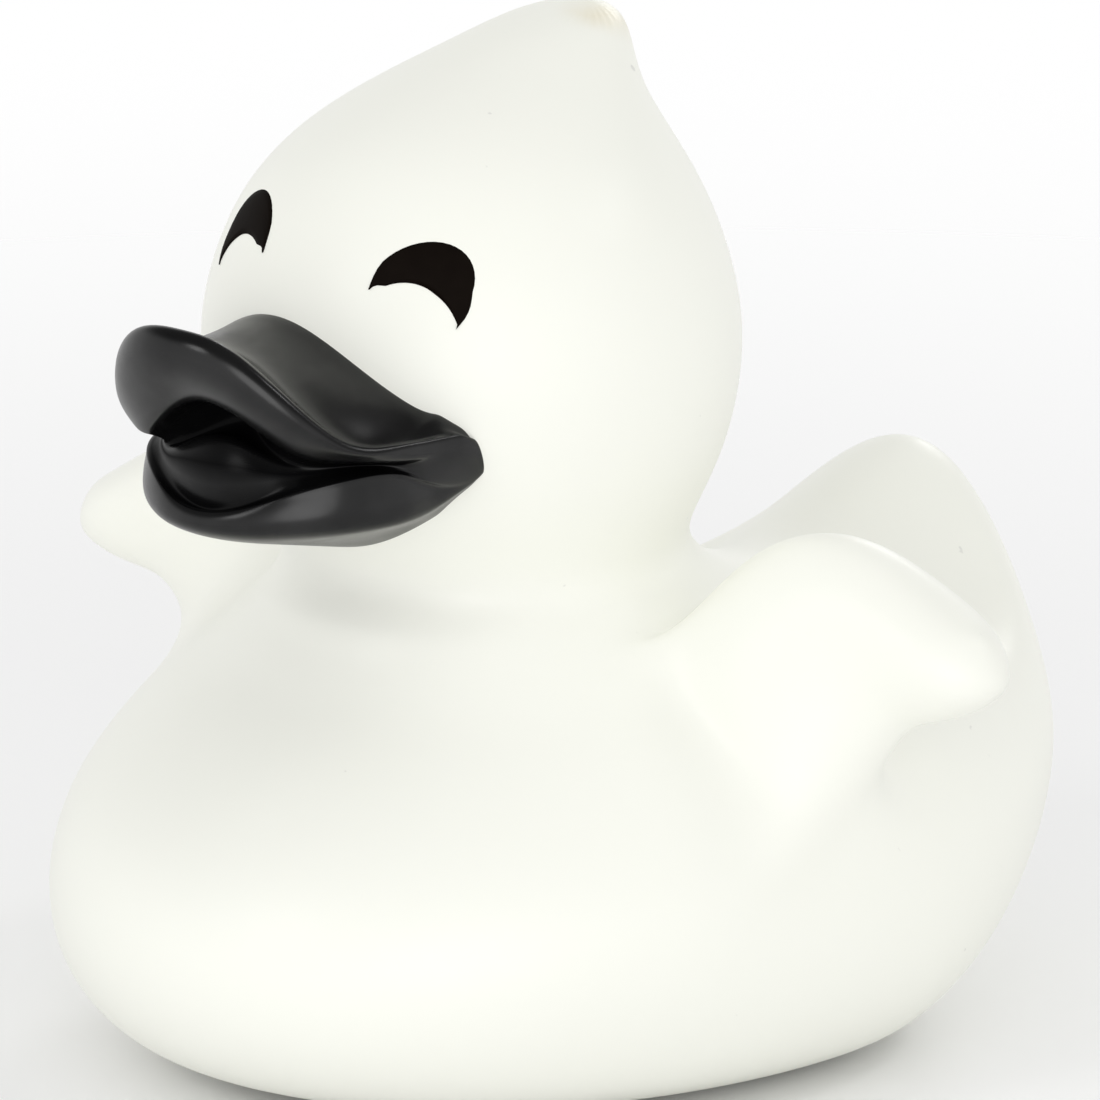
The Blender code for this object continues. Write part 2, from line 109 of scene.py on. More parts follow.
def finishPiece(piece, rounds):
    bpy.ops.mesh.select_all(action='SELECT')
    bpy.ops.mesh.normals_make_consistent(inside=False)
    bpy.ops.object.mode_set(mode='OBJECT')
    if rounds:
        bpy.ops.object.modifier_add(type='SUBSURF')
        smooth = piece.modifiers[-1]
        smooth.levels = rounds
        smooth.render_levels = rounds
        bpy.ops.object.modifier_apply(modifier=smooth.name)
    bpy.ops.object.shade_smooth()
    print(piece.name, len(piece.data.polygons), "faces")


# Skin: body, tail, neck, head and crest in rings of points, with the inner wall that shows in the air hole

skin = {
    "columns": 32, "rounds": 3, "wall": 2.2 * mm, "ventRadius": 2.0 * mm, "ventSetback": 10.0 * mm,
    "floorShare": 0.8, "roofRise": 1.0 * mm,
    "bodyWidth": 77.0 * mm, "chestReach": 47.5 * mm, "rearReach": 44.5 * mm,
    "shoulderHeight": 42.0 * mm, "tailHeight": 41.4 * mm, "neckSetback": -11.0 * mm,
    "headWidth": 44.8 * mm, "headLength": 44.8 * mm, "headSetback": -12.4 * mm, "headHeight": 45.0 * mm,
    "flankDip": 6.5 * mm, "tailTwist": 1.0 * mm, "crestLean": 0.66,
    # front reach and height, side reach and height, rear reach and height, shift to the neck, gather
    "bodyRows": (
        (0.600, 0.000, 0.590, 0.000, 0.510, 0.000, 0.00, 2.0),
        (0.830, 0.035, 0.780, 0.034, 0.578, 0.052, 0.00, 2.0),
        (0.960, 0.115, 0.900, 0.118, 0.675, 0.158, 0.00, 2.0),
        (1.035, 0.235, 0.983, 0.235, 0.812, 0.302, 0.00, 2.0),
        (1.042, 0.375, 1.010, 0.375, 0.935, 0.460, 0.00, 2.0),
        (0.982, 0.515, 0.985, 0.520, 1.020, 0.625, 0.00, 2.5),
        (0.868, 0.635, 0.900, 0.645, 1.042, 0.790, 0.00, 3.5),
        (0.763, 0.727, 0.800, 0.740, 1.057, 0.938, 0.05, 4.5),
        (0.672, 0.796, 0.708, 0.800, 1.038, 1.032, 0.15, 6.0),
        (0.598, 0.853, 0.630, 0.858, 0.925, 0.985, 0.30, 7.0),
        (0.525, 0.901, 0.553, 0.905, 0.765, 0.840, 0.50, 6.0),
        (0.452, 0.945, 0.490, 0.945, 0.590, 0.870, 0.75, 4.0),
        (0.382, 0.980, 0.440, 0.980, 0.450, 0.960, 0.95, 2.0),
    ),
    # height, girth and lean back
    "headRows": (
        (0.040, 0.735, 0.070), (0.125, 0.830, 0.045), (0.215, 0.930, 0.015), (0.330, 0.995, 0.003),
        (0.453, 1.010, 0.000), (0.576, 0.955, 0.005), (0.690, 0.860, 0.015), (0.790, 0.707, 0.062),
        (0.865, 0.520, 0.182), (0.925, 0.348, 0.388), (0.975, 0.215, 0.545),
    ),
}
turns = [2 * math.pi * column / skin["columns"] for column in range(skin["columns"])]


def bodyPoint(row, turn):
    frontReach, frontHeight, sideReach, sideHeight, rearReach, rearHeight, shift, gather = row
    ahead = -math.cos(turn)
    x = sideReach * skin["bodyWidth"] / 2 * math.sin(turn)
    sideZ = sideHeight * skin["shoulderHeight"]
    if ahead <= 0.0:
        y = frontReach * skin["chestReach"] * ahead
        z = sideZ + (frontHeight * skin["shoulderHeight"] - sideZ) * ahead ** 2
    else:
        y = rearReach * skin["rearReach"] * ahead
        z = sideZ + (rearHeight * skin["tailHeight"] - sideZ) * ahead ** gather
        z -= skin["flankDip"] * (gather - 2) * ahead ** 2 * (1 - ahead ** 2)
        z += skin["tailTwist"] * (gather - 2) * ahead ** 2 * math.sin(turn)
    return Vector((x, y + shift * skin["neckSetback"], z))


def headPoint(row, turn):
    height, girth, lean = row
    x = girth * skin["headWidth"] / 2 * math.sin(turn)
    y = skin["headSetback"] + (lean - girth * math.cos(turn)) * skin["headLength"] / 2
    return Vector((x, y, skin["shoulderHeight"] + height * skin["headHeight"]))


def headFront(x, z):
    rows = skin["headRows"]
    share = (z - skin["shoulderHeight"]) / skin["headHeight"]
    above = next(number for number, row in enumerate(rows) if row[0] >= share)
    low, high = rows[above - 1], rows[above]
    part = (share - low[0]) / (high[0] - low[0])
    girth = low[1] + part * (high[1] - low[1])
    lean = low[2] + part * (high[2] - low[2])
    across = min(abs(x) / (girth * skin["headWidth"] / 2), 0.98)          # stays short of the head's side
    return skin["headSetback"] + (lean - girth * math.sqrt(1.0 - across ** 2)) * skin["headLength"] / 2


def ventRing(radius, z):
    middle = skin["ventSetback"]
    return [Vector((radius * math.sin(turn), middle - radius * math.cos(turn), z)) for turn in turns]


def innerRows(rows):
    # each point goes in along the surface's own normal, found from its neighbours
    inner = []
    for number in range(1, len(rows) - 1):
        ring = []
        for column in range(len(turns)):
            along = rows[number][(column + 1) % len(turns)] - rows[number][column - 1]
            up = rows[number + 1][column] - rows[number - 1][column]
            ring.append(rows[number][column] - along.cross(up).normalized() * skin["wall"])
        inner.append(ring)
    return inner


# Wings: the flank's own faces, extruded outwards through sections

wings = {
    "thickness": 11.0 * mm, "setback": -4.6 * mm, "root": (28.0 * mm, 29.5 * mm), "liftedBy": 3,
    # the skin's rows and columns of points that a wing grows from, and the number of points on its outline
    "rows": (5, 10), "columns": (6, 8), "around": 14,
    # for the left and the right: degrees of lift, then shares of the reach, the rise and the lead
    "lift": {1: 0.0, -1: -4.5}, "shares": {1: (1.0, 1.0, 1.0), -1: (0.91, 0.89, -0.5)},
    # top edge and bottom edge, sideways and up from the root in mm, a share of the thickness, and the lead
    "sections": (
        (-5.8, 12.5, 10.0, -2.8, 1.20, 3.6), (-1.5, 17.6, 11.8, 1.8, 1.06, 1.8),
        (5.5, 19.5, 13.6, 3.8, 0.98, 0.5), (12.2, 16.8, 17.5, 4.6, 0.95, 0.0),
        (17.5, 13.8, 20.8, 6.6, 0.85, 0.0),
    ),
    "tip": (22.6, 10.4),
}
loopsBelowBody = 2          # the air hole's rim and the ring between it and the first body row
wingDone = 100000           # raises the numbers of a wing's last points, so that nothing picks them again


def wingSpot(across, up, share, side, lead=0.0):
    lift = math.radians(wings["lift"][side]) * share
    reach, rise, ahead = wings["shares"][side]
    x = (across * math.cos(lift) - up * math.sin(lift)) * reach * mm
    z = (across * math.sin(lift) + up * math.cos(lift)) * rise * mm
    rootX, rootZ = wings["root"]
    return Vector((side * (rootX + x), wings["setback"] - lead * ahead * mm, rootZ + z))


def wingPlaces(side, number):
    # where each point of the flank's patch goes in one section, by the point's own number
    topX, topZ, lowX, lowZ, thick, lead = wings["sections"][number]
    share = min(1.0, (number + 1) / wings["liftedBy"])
    top = wingSpot(topX, topZ, share, side, lead)
    low = wingSpot(lowX, lowZ, share, side, lead)
    tip = wingSpot(*wings["tip"], share, side)
    middle = (top + low) / 2
    depth = Vector((0.0, thick * wings["thickness"] / 2, 0.0))
    first, last = wings["rows"]
    around = wings["around"]
    places = {}
    for row in range(first, last + 1):
        for spot, column in enumerate(range(wings["columns"][0], wings["columns"][1] + 1)):
            step = 1 + last - row                                         # along the wing's back
            if spot == 0:
                step = around - step                                      # and along its front
            elif spot == 1 and row == last:
                step = 0                                                  # its top edge
            elif spot == 1 and row == first:
                step = around // 2                                        # and its bottom edge
            angle = 2 * math.pi * step / around
            place = middle + (top - low) / 2 * math.cos(angle)
            if spot != 1:
                place = place + depth * math.sin(angle)
            elif number == len(wings["sections"]) - 1:
                place = place + (tip - middle) * math.sin(angle)
            order = (row + loopsBelowBody) * skin["columns"] + (side * column) % skin["columns"]
            places[order] = place
    return places


def addWing(piece, side):
    wanted = wingPlaces(side, 0)
    pickPoints(piece, wanted)
    bpy.ops.mesh.select_mode(type='FACE')
    for number in range(len(wings["sections"])):
        places = wingPlaces(side, number)
        bpy.ops.mesh.extrude_region_move()
        mesh = bmesh.from_edit_mesh(piece.data)
        order = mesh.verts.layers.int["order"]
        for vert in mesh.verts:
            if vert.select:
                vert.co = places[vert[order]]
        bmesh.update_edit_mesh(piece.data)
    mesh = bmesh.from_edit_mesh(piece.data)
    order = mesh.verts.layers.int["order"]
    for vert in mesh.verts:
        if vert.select:
            vert[order] += wingDone
    bmesh.update_edit_mesh(piece.data)
    bpy.ops.mesh.select_mode(type='VERT')


def makeSkin():
    columns = skin["columns"]
    rows = [[bodyPoint(row, turn) for turn in turns] for row in skin["bodyRows"]]
    rows += [[headPoint(row, turn) for turn in turns] for row in skin["headRows"]]
    crest = Vector((0.0, skin["headSetback"] + skin["crestLean"] * skin["headLength"] / 2,
                    skin["shoulderHeight"] + skin["headHeight"]))
    vent = ventRing(skin["ventRadius"], 0.0)
    piece = startLoop("duckSkin", vent)
    extrudeLoop(piece, [a.lerp(b, 0.5) for a, b in zip(vent, rows[0])])
    for row in rows:
        extrudeLoop(piece, row)
    closePoint(piece, crest)
    pickPoints(piece, range(0, columns))                                  # the air hole's rim
    bpy.ops.transform.edge_crease(value=1.0)
    base = loopsBelowBody * columns
    pickPoints(piece, range(base, base + columns))                        # the base's rim
    bpy.ops.transform.edge_crease(value=1.0)
    addWing(piece, 1)
    addWing(piece, -1)
    pickPoints(piece, range(0, columns))
    extrudeLoop(piece, ventRing(skin["ventRadius"], skin["wall"]))
    bpy.ops.transform.edge_crease(value=1.0)
    inner = innerRows(rows)
    share = skin["floorShare"]
    extrudeLoop(piece, [Vector((spot.x * share, spot.y * share, skin["wall"])) for spot in rows[0]])
    rings = inner[1:-2:2]                                                 # every other one will do inside
    for ring in rings:
        extrudeLoop(piece, ring)
    closePoint(piece, sum(rings[-1], Vector()) / columns + Vector((0.0, 0.0, skin["roofRise"])))
    finishPiece(piece, skin["rounds"])
    return piece


# Bill: one cut through it, carried round from the right cheek by the tip to the left

bill = {
    "reach": 23.9 * mm, "radius": 13.7 * mm, "turn": -1.0, "roll": 1.5, "sway": 3.0,
    "rounds": 3, "quarterSteps": 4,
    "jawRadius": 10.8 * mm, "jawInset": 0.4 * mm, "jawBend": 7, "jawHeight": 51.2 * mm,
    "jawLift": 0.8 * mm, "jawLiftBend": 4,
    "cheek": 8.0 * mm, "flare": 0.18, "sink": 1.6 * mm, "cheekShares": (0.3, 0.65, 1.0),
    "closing": 3.4, "rounding": 1.7, "draw": 0.45, "lobeBend": 0.8,
    "tip": 68.6 * mm, "rim": 58.4 * mm, "rimFall": 1.6 * mm, "rimStart": 0.25, "rimSharpness": 1.25,
    "lip": 62.4 * mm, "lipStep": 0.6 * mm, "lipStepSpan": 0.35, "lipStepBend": 0.8,
    "lipBend": 4.0, "lipSway": 5.0,
    "corner": 56.3 * mm, "cornerGap": 0.3 * mm, "groove": 52.7 * mm, "grooveBend": 2.2, "pivot": 54.9 * mm,
    "leaf": 58.6 * mm, "leafSpan": 41.0, "leafBend": 0.9,
    "marginHalfWidth": 14.5 * mm, "marginInset": 1.7 * mm, "margin": 66.4 * mm,
    "marginFalls": (7.3 * mm, 1.4 * mm), "marginSway": 11.0, "marginBend": 1.9,
    "throatInset": 3.6 * mm, "throat": 46.0 * mm, "throatRises": (4.6 * mm, 3.2 * mm), "throatBend": 1.6,
    "proud": (0.9 * mm, 0.7 * mm),
    # share of the way from the edge to the ridge, drop, and drop at the front
    "saddleRows": ((0.35, 0.2, 0.8), (0.75, 0.3, 1.3)),
    # share of the half width, height from the edge and depth into the face
    "topEdgeRows": ((0.75, -4.0, 4.0), (0.97, 0.7, 1.2)),
    "underEdgeRows": ((0.97, -0.4, 1.2), (0.75, 3.0, 4.0)),
    # reach and reach at the front, share of the height between two lines, lift and lift at the front
    "lipRows": (
        (-0.9, -1.7, 1.0, -0.5, 0.0), (-0.3, -0.9, 1.0, 0.0, 0.0), (0.0, -0.1, 1.0, -0.6, -0.5),
        (0.0, -0.2, 0.5, 0.0, -0.2), (0.1, -2.9, 0.0, 0.3, 0.1),
    ),
    "jawRows": (
        (-0.5, 0.0, 1.0, -0.2, 0.0), (-0.1, 0.0, 0.55, 0.0, 0.0),
        (0.0, 0.0, 0.0, -0.1, 0.0), (-0.7, -1.3, 0.0, -1.0, -0.3),
    ),
    # inside the mouth, at the leaf: reach from the lower lip, share of the way up from the groove to
    # the leaf's top, and lift. At the sides: depth, and place between the lips. Then the gloss, set low as painted
    # shade.
    "mouthRows": (
        (-1.2, 1.50, 0.6, 0.5, 0.10, 0.5), (-3.4, 1.50, 1.6, 1.5, 0.20, 0.1),
        (-6.9, 1.25, 0.6, 2.1, 0.32, 0.1), (-6.5, 1.00, -0.5, 2.3, 0.42, 0.1),
        (-3.7, 1.00, 0.1, 2.3, 0.50, 0.3), (-3.1, 1.00, -0.2, 2.2, 0.57, 0.6),
        (-1.9, 0.62, 0.0, 2.0, 0.64, 0.1), (-1.5, 0.30, 0.0, 1.8, 0.72, 0.6),
        (-1.8, 0.06, 0.0, 1.4, 0.80, 0.4), (-2.0, 0.00, -0.8, 1.0, 0.88, 0.2),
        (-1.1, 0.00, -0.1, 0.4, 1.00, 0.7),
    ),
}


def billStations():
    quarter = math.pi / 2
    steps = bill["quarterSteps"]
    arc = [(quarter * step / steps, 0.0) for step in range(-steps, steps + 1)]
    cheeks = [bill["cheek"] * share for share in bill["cheekShares"]]
    return [(-quarter, back) for back in reversed(cheeks)] + arc + [(quarter, back) for back in cheeks]


def billSpot(angle, back, radius, z):
    radius += back * bill["flare"]
    middle = skin["headSetback"] - bill["reach"] + back
    return Vector((radius * math.sin(angle), middle - radius * math.cos(angle), z))


def faceSpot(x, z, proud):
    return Vector((x, headFront(x, z) - proud, z))


def edgeSpots(x, z, rows):
    return [faceSpot(x * share, z + lift * mm, -depth * mm) for share, lift, depth in rows]


def bandSpots(angle, back, radius, low, high, rows):
    front = max(math.cos(angle), 0.0)
    spots = []
    for reach, frontReach, share, lift, frontLift in rows:
        z = low + (high - low) * share + (lift + frontLift * front) * mm
        spots.append(billSpot(angle, back, radius + (reach + frontReach * front) * mm, z))
    return spots


def mouthSpots(angle, back, jaw, lipReach, heights, gape):
    # from the upper lip over the palate and the leaf to the groove, and flat on the cheek past the mouth
    lip, jawLip = heights
    wide = min(1.0, abs(math.degrees(angle)) / bill["leafSpan"])
    leaf = (1.0 - wide ** 2) ** bill["leafBend"]
    spots = []
    for reach, rise, lift, depth, share, _ in bill["mouthRows"]:
        z = jawLip + (bill["leaf"] - jawLip) * rise + lift * mm
        z = min(z, lip + lift * mm)
        between = lip + (jawLip - lip) * share
        inner = billSpot(angle, back, jaw + reach * mm, z)
        outer = billSpot(angle, back, lipReach + (jaw - lipReach) * share - depth * mm, between)
        closed = billSpot(angle, back, bill["radius"], between)
        spots.append(closed.lerp(outer.lerp(inner, leaf), gape))
    return spots


def rimHeight(angle, cheek):
    start = bill["rimStart"]
    rise = min(max((math.cos(angle + math.radians(bill["sway"])) - start) / (1.0 - start), 0.0), 1.0)
    rise = (rise * rise * (3.0 - 2.0 * rise)) ** bill["rimSharpness"]
    return bill["rim"] + (bill["tip"] - bill["rim"]) * rise - bill["rimFall"] * cheek


def lipHeight(angle, gape):
    span = bill["lipStepSpan"]
    step = bill["lipStep"] * min(1.0, max(math.cos(angle), 0.0) / span) ** bill["lipStepBend"]
    front = math.cos(angle - math.radians(bill["lipSway"]))
    rest = bill["lip"] - bill["corner"] - bill["cornerGap"] - bill["lipStep"]
    along = max(0.0, (front - span) / (1.0 - span))
    return bill["corner"] + bill["cornerGap"] * gape + step + rest * along ** bill["lipBend"]


def billCut(angle, back):
    front = max(math.cos(angle), 0.0)
    side = abs(math.sin(angle))
    hand = math.copysign(1.0, angle) if front < 1.0 else 0.0
    cheek = back / bill["cheek"]
    gape = max(0.0, 1.0 - bill["closing"] * cheek)
    radius, corner, gap = bill["radius"], bill["corner"], bill["cornerGap"]
    lip = lipHeight(angle, gape)
    jawLip = bill["groove"] + (corner - bill["groove"] - gap) * (1.0 - front ** bill["grooveBend"])
    jaw = bill["jawRadius"] + (radius - bill["jawInset"] - bill["jawRadius"]) * side ** bill["jawBend"]
    topX = hand * (bill["marginHalfWidth"] - bill["marginInset"] * (1.0 - cheek)) * side
    slope = abs(math.sin(angle + math.radians(bill["marginSway"]))) ** bill["marginBend"]
    topZ = bill["margin"] - bill["marginFalls"][0] * slope - bill["marginFalls"][1] * cheek
    lowX = hand * (bill["marginHalfWidth"] - bill["throatInset"] * (1.0 - cheek)) * side
    rise = side ** bill["throatBend"]
    lowZ = bill["throat"] + bill["throatRises"][0] * rise + bill["throatRises"][1] * cheek
    top = faceSpot(topX, topZ, bill["proud"][0])
    under = faceSpot(lowX, lowZ, bill["proud"][1])
    spots = edgeSpots(topX, topZ, bill["topEdgeRows"])
    spots.append(top)
    band = bandSpots(angle, back, radius, lip, rimHeight(angle, cheek), bill["lipRows"])
    for share, drop, frontDrop in bill["saddleRows"]:
        spots.append(top.lerp(band[0], share) - Vector((0.0, 0.0, (drop + frontDrop * front) * mm)))
    lipReach = radius + (bill["lipRows"][-1][0] + bill["lipRows"][-1][1] * front) * mm
    spots += band + mouthSpots(angle, back, jaw, lipReach, (lip, jawLip), gape)
    jawBase = bill["jawHeight"] + bill["jawLift"] * side ** bill["jawLiftBend"]
    band = bandSpots(angle, back, jaw, jawBase, jawLip, bill["jawRows"])
    spots += band + [(band[-1] + under) / 2, under]
    spots += edgeSpots(lowX, lowZ, bill["underEdgeRows"])
    return roundCheek(spots, billSpot(angle, back, radius, lip), min(1.0, bill["rounding"] * cheek))


def roundCheek(spots, outer, share):
    # the cut drawn by a share towards one smooth lobe from the top edge to the bottom one
    first = len(bill["topEdgeRows"])
    last = len(spots) - 1 - len(bill["underEdgeRows"])
    top, under = spots[first], spots[last]
    middle = (top + under) / 2
    swell = Vector((outer.x - middle.x, outer.y - middle.y, 0.0))
    for number in range(first + 1, last):
        turn = math.pi * (number - first) / (last - first)
        lobe = middle + (top - under) / 2 * math.cos(turn) + swell * math.sin(turn) ** bill["lobeBend"]
        spots[number] = spots[number].lerp(lobe, share)
    return spots


def cheekEnd(cut):
    # the last cut of a cheek, drawn together and sunk into the face
    middle = sum(cut, Vector()) / len(cut)
    return [middle.lerp(spot, bill["draw"]) + Vector((0.0, bill["sink"], 0.0)) for spot in cut]


def aboutHead(turn, height=0.0):
    middle = Matrix.Translation((0.0, skin["headSetback"], height))
    return middle @ turn @ middle.inverted()


def billGlossAndMouthShade(stations, count):
    # full gloss outside, less in the mouth, which ends where the cheeks begin; the mouth's lower gloss is painted
    # shade
    inside = len(bill["topEdgeRows"]) + 1 + len(bill["saddleRows"]) + len(bill["lipRows"])
    cheek = len(bill["cheekShares"]) + 1
    gloss = [1.0] * (stations * count)
    for station in range(cheek, stations - cheek):
        for number, row in enumerate(bill["mouthRows"]):
            gloss[station * count + inside + number] = row[-1]
    return gloss


def makeBill():
    roll = Matrix.Rotation(-math.radians(bill["roll"]), 4, 'Y')
    turn = aboutHead(Matrix.Rotation(math.radians(bill["turn"]), 4, 'Z') @ roll, bill["pivot"])
    cuts = [billCut(angle, back) for angle, back in billStations()]
    cuts = [cheekEnd(cuts[0])] + cuts + [cheekEnd(cuts[-1])]
    cuts = [[turn @ spot for spot in cut] for cut in cuts]
    piece = startLoop("bill", cuts[0])
    for cut in cuts[1:]:
        extrudeLoop(piece, cut)
    bpy.ops.mesh.edge_face_add()
    pickPoints(piece, range(len(cuts[0])))
    bpy.ops.mesh.edge_face_add()
    # the gloss is lowered in the mouth as painted shade
    paintPoints(piece, "gloss", billGlossAndMouthShade(len(cuts), len(cuts[0])))
    finishPiece(piece, bill["rounds"])
    return piece


# Eyes: a crescent of paint between an outer arc and an inner one, laid on the rounded face

eyes = {
    # for the left and the right
    "spread": {1: 10.3 * mm, -1: 8.7 * mm}, "height": {1: 69.5 * mm, -1: 70.5 * mm},
    "radius": 3.8 * mm, "hollowRadius": 3.5 * mm, "hollowShift": (-0.7 * mm, -2.8 * mm),
    "outerTurn": (178, -46), "innerTurn": (135, 3), "turn": -3.5, "slant": 0.3,
    # how the width comes to a point at the inner corner and is rounded off at the outer one
    "point": 0.14, "pointWidth": 0.08, "rounding": 0.9, "roundedOff": 0.95, "middle": 0.4,
    # across the crescent: place from the outer arc to the inner, and height as a share of the paint's
    "layer": ((0.0, 0.3), (0.15, 1.0), (0.5, 1.0), (0.85, 1.0), (1.0, 0.3)),
    "steps": 28, "proud": 0.12 * mm, "sunk": 0.5 * mm, "ahead": 90 * mm,
}


def arcSpot(radius, shift, turns, share):
    angle = math.radians(turns[0] + share * (turns[1] - turns[0]))
    spot = Vector((shift[0] + radius * math.cos(angle), shift[1] + radius * math.sin(angle)))
    spot.x += eyes["slant"] * max(0.0, -spot.y)
    return spot


def eyeCuts():
    cuts = []
    for step in range(eyes["steps"] + 1):
        share = step / eyes["steps"]
        outer = arcSpot(eyes["radius"], (0.0, 0.0), eyes["outerTurn"], share)
        inner = arcSpot(eyes["hollowRadius"], eyes["hollowShift"], eyes["innerTurn"], share)
        ending = max(0.0, share - eyes["rounding"]) / (1.0 - eyes["rounding"])
        width = math.sqrt(1.0 - eyes["roundedOff"] * ending ** 2)
        width *= min(1.0, eyes["pointWidth"] + share / eyes["point"])
        middle = outer.lerp(inner, eyes["middle"])
        cuts.append((middle.lerp(outer, width), middle.lerp(inner, width)))
    return cuts


def makeEye(name, side, face):
    turn = aboutHead(Matrix.Rotation(math.radians(eyes["turn"]), 4, 'Z'))
    look = turn.to_3x3() @ Vector((0.0, 1.0, 0.0))
    rings = []
    for outer, inner in eyeCuts():
        ring = []
        for share, rise in eyes["layer"]:
            spot = outer.lerp(inner, share)
            x = side * (eyes["spread"][side] + spot.x)
            start = turn @ Vector((x, -eyes["ahead"], eyes["height"][side] + spot.y))
            hit, normal = face.ray_cast(start, look)[:2]
            ring.append(hit + normal * eyes["proud"] * rise)
        ring.append(ring[-1] + look * eyes["sunk"])
        ring.append(ring[0] + look * eyes["sunk"])
        rings.append(ring)
    piece = startLoop(name, rings[0])
    for ring in rings[1:]:
        extrudeLoop(piece, ring)
    bpy.ops.mesh.edge_face_add()
    pickPoints(piece, range(len(rings[0])))
    bpy.ops.mesh.edge_face_add()
    finishPiece(piece, 0)
    return piece


# Shader sums: a wrapped socket takes part in Python expressions

class Wire:
    def __init__(self, finish, socket):
        self.finish = finish
        self.socket = socket

    def sum(self, operation, first, second):
        return self.finish.node('ShaderNodeMath', {"operation": operation}, {0: first, 1: second})

    def __add__(self, other):
        return self.sum('ADD', self, other)

    def __radd__(self, other):
        return self.sum('ADD', other, self)

    def __mul__(self, other):
        return self.sum('MULTIPLY', self, other)

    def __rmul__(self, other):
        return self.sum('MULTIPLY', other, self)


class Finish:
    def __init__(self, name):
        self.material = bpy.data.materials.new(name)
        self.material.use_nodes = True
        self.tree = self.material.node_tree
        self.shader = self.tree.nodes["Principled BSDF"]
        self.place = self.node('ShaderNodeTexCoord', {}, {}, "Object")

    def node(self, kind, settings, sockets, out=0):
        made = self.tree.nodes.new(kind)
        for name, value in settings.items():
            if name == "stops":
                self.setStops(made.color_ramp, value)
            else:
                setattr(made, name, value)
        for name, value in sockets.items():
            self.join(value, made.inputs[name])
        return Wire(self, made.outputs[out])

    def setStops(self, ramp, stops):
        while len(ramp.elements) < len(stops):
            ramp.elements.new(0.5)
        for element, (place, tone) in zip(ramp.elements, stops):
            element.position = place
            element.color = (tone, tone, tone, 1.0)

    def join(self, value, socket):
        if isinstance(value, Wire):
            self.tree.links.new(value.socket, socket)
        else:
            socket.default_value = value

    def set(self, **values):
        words = {"baseColor": "Base Color", "specular": "Specular IOR Level",
                 "coat": "Coat Weight", "coatRoughness": "Coat Roughness"}
        for name, value in values.items():
            self.join(value, self.shader.inputs[words.get(name, name.capitalize())])

    def noise(self, scale, detail=2.0, roughness=0.5):
        return self.node('ShaderNodeTexNoise', {}, {"Vector": self.place, "Scale": scale, "Detail": detail,
                                                    "Roughness": roughness})

    def ramp(self, value, stops):
        return self.node('ShaderNodeValToRGB', {"stops": stops}, {0: value})

    def mix(self, share, first, second):
        return self.node('ShaderNodeMix', {"data_type": 'RGBA'}, {0: share, 6: first, 7: second}, 2)

    def bump(self, height, strength, distance):
        return self.node('ShaderNodeBump', {}, {"Height": height, "Strength": strength, "Distance": distance})

    def near(self, point, radius):
        # 1 at a point, down to 0 at a radius
        spots = {0: self.place, 1: point}
        gap = self.node('ShaderNodeVectorMath', {"operation": 'DISTANCE'}, spots, "Value")
        return self.node('ShaderNodeMapRange', {"interpolation_type": 'SMOOTHSTEP'},
                         {"Value": gap, "From Min": 0.0, "From Max": radius, "To Min": 1.0, "To Max": 0.0})


vinyl = {
    "white": (0.940, 0.945, 0.875, 1.0), "shade": (0.920, 0.925, 0.850, 1.0), "clouds": 0.35,
    "stain": (0.80, 0.72, 0.50, 1.0), "stained": 0.65,
    "stainPlace": (0.0032, 0.0006, 0.0862), "stainRadius": 0.0045,
    "mark": (0.52, 0.52, 0.50, 1.0), "marked": 0.4,
    "markPlace": (0.00824, -0.00154, 0.08271), "markRadius": 0.0006,
    "specks": 0.35, "roughness": 0.36, "rougher": 0.10, "specular": 0.42,
    "swell": 0.6, "bump": 0.35, "grain": 0.00004,
}
paint = {
    "black": (0.0020, 0.0020, 0.0022, 1.0), "worn": (0.0036, 0.0036, 0.0038, 1.0), "roughness": 0.5,
    "coat": 0.72, "moreCoat": 0.25, "coatRoughness": 0.24, "bump": 0.4, "pits": 0.00005,
}
eyeInk = {
    "dark": (0.0045, 0.0028, 0.0020, 1.0), "brown": (0.0080, 0.0055, 0.0040, 1.0),
    "roughness": 0.55, "rougher": 0.12, "specular": 0.03, "bump": 0.2, "grain": 0.00003,
}


def whiteVinyl():
    finish = Finish("white_vinyl")
    clouds = finish.ramp(finish.noise(45.0, 3.0), [(0.35, 0.0), (0.75, 1.0)])
    color = finish.mix(clouds * vinyl["clouds"], vinyl["white"], vinyl["shade"])
    uneven = finish.ramp(finish.noise(260.0, 3.0), [(0.3, 0.35), (0.7, 1.0)])
    stain = finish.near(vinyl["stainPlace"], vinyl["stainRadius"]) * uneven
    color = finish.mix(stain * vinyl["stained"], color, vinyl["stain"])
    specks = finish.ramp(finish.noise(620.0, 2.0, 0.6), [(0.765, 0.0), (0.80, 1.0)])
    color = finish.mix(specks * vinyl["specks"], color, vinyl["mark"])
    mark = finish.ramp(finish.near(vinyl["markPlace"], vinyl["markRadius"]), [(0.35, 0.0), (0.6, 1.0)])
    color = finish.mix(mark * vinyl["marked"], color, vinyl["mark"])
    grain = finish.noise(900.0, 2.0)
    swell = finish.noise(120.0, 2.0)
    finish.set(baseColor=color, specular=vinyl["specular"],
               roughness=vinyl["roughness"] + vinyl["rougher"] * grain,
               normal=finish.bump(grain + vinyl["swell"] * swell, vinyl["bump"], vinyl["grain"]))
    return finish.material


def blackPaint():
    finish = Finish("black_paint")
    pits = finish.noise(1500.0, 3.0, 0.6)
    patches = finish.ramp(finish.noise(160.0, 3.0), [(0.35, 0.0), (0.7, 1.0)])
    color = finish.mix(patches, paint["black"], paint["worn"])
    # a gloss of 1 outside; lower in the mouth, where taking away the coat's reflection paints the mouth's shade
    gloss = finish.node('ShaderNodeAttribute', {"attribute_name": "gloss"}, {}, "Fac")
    finish.set(baseColor=color, roughness=paint["roughness"], specular=0.0,
               coat=gloss * (paint["coat"] + paint["moreCoat"] * patches),
               coatRoughness=paint["coatRoughness"],
               normal=finish.bump(pits, paint["bump"], paint["pits"]))
    return finish.material


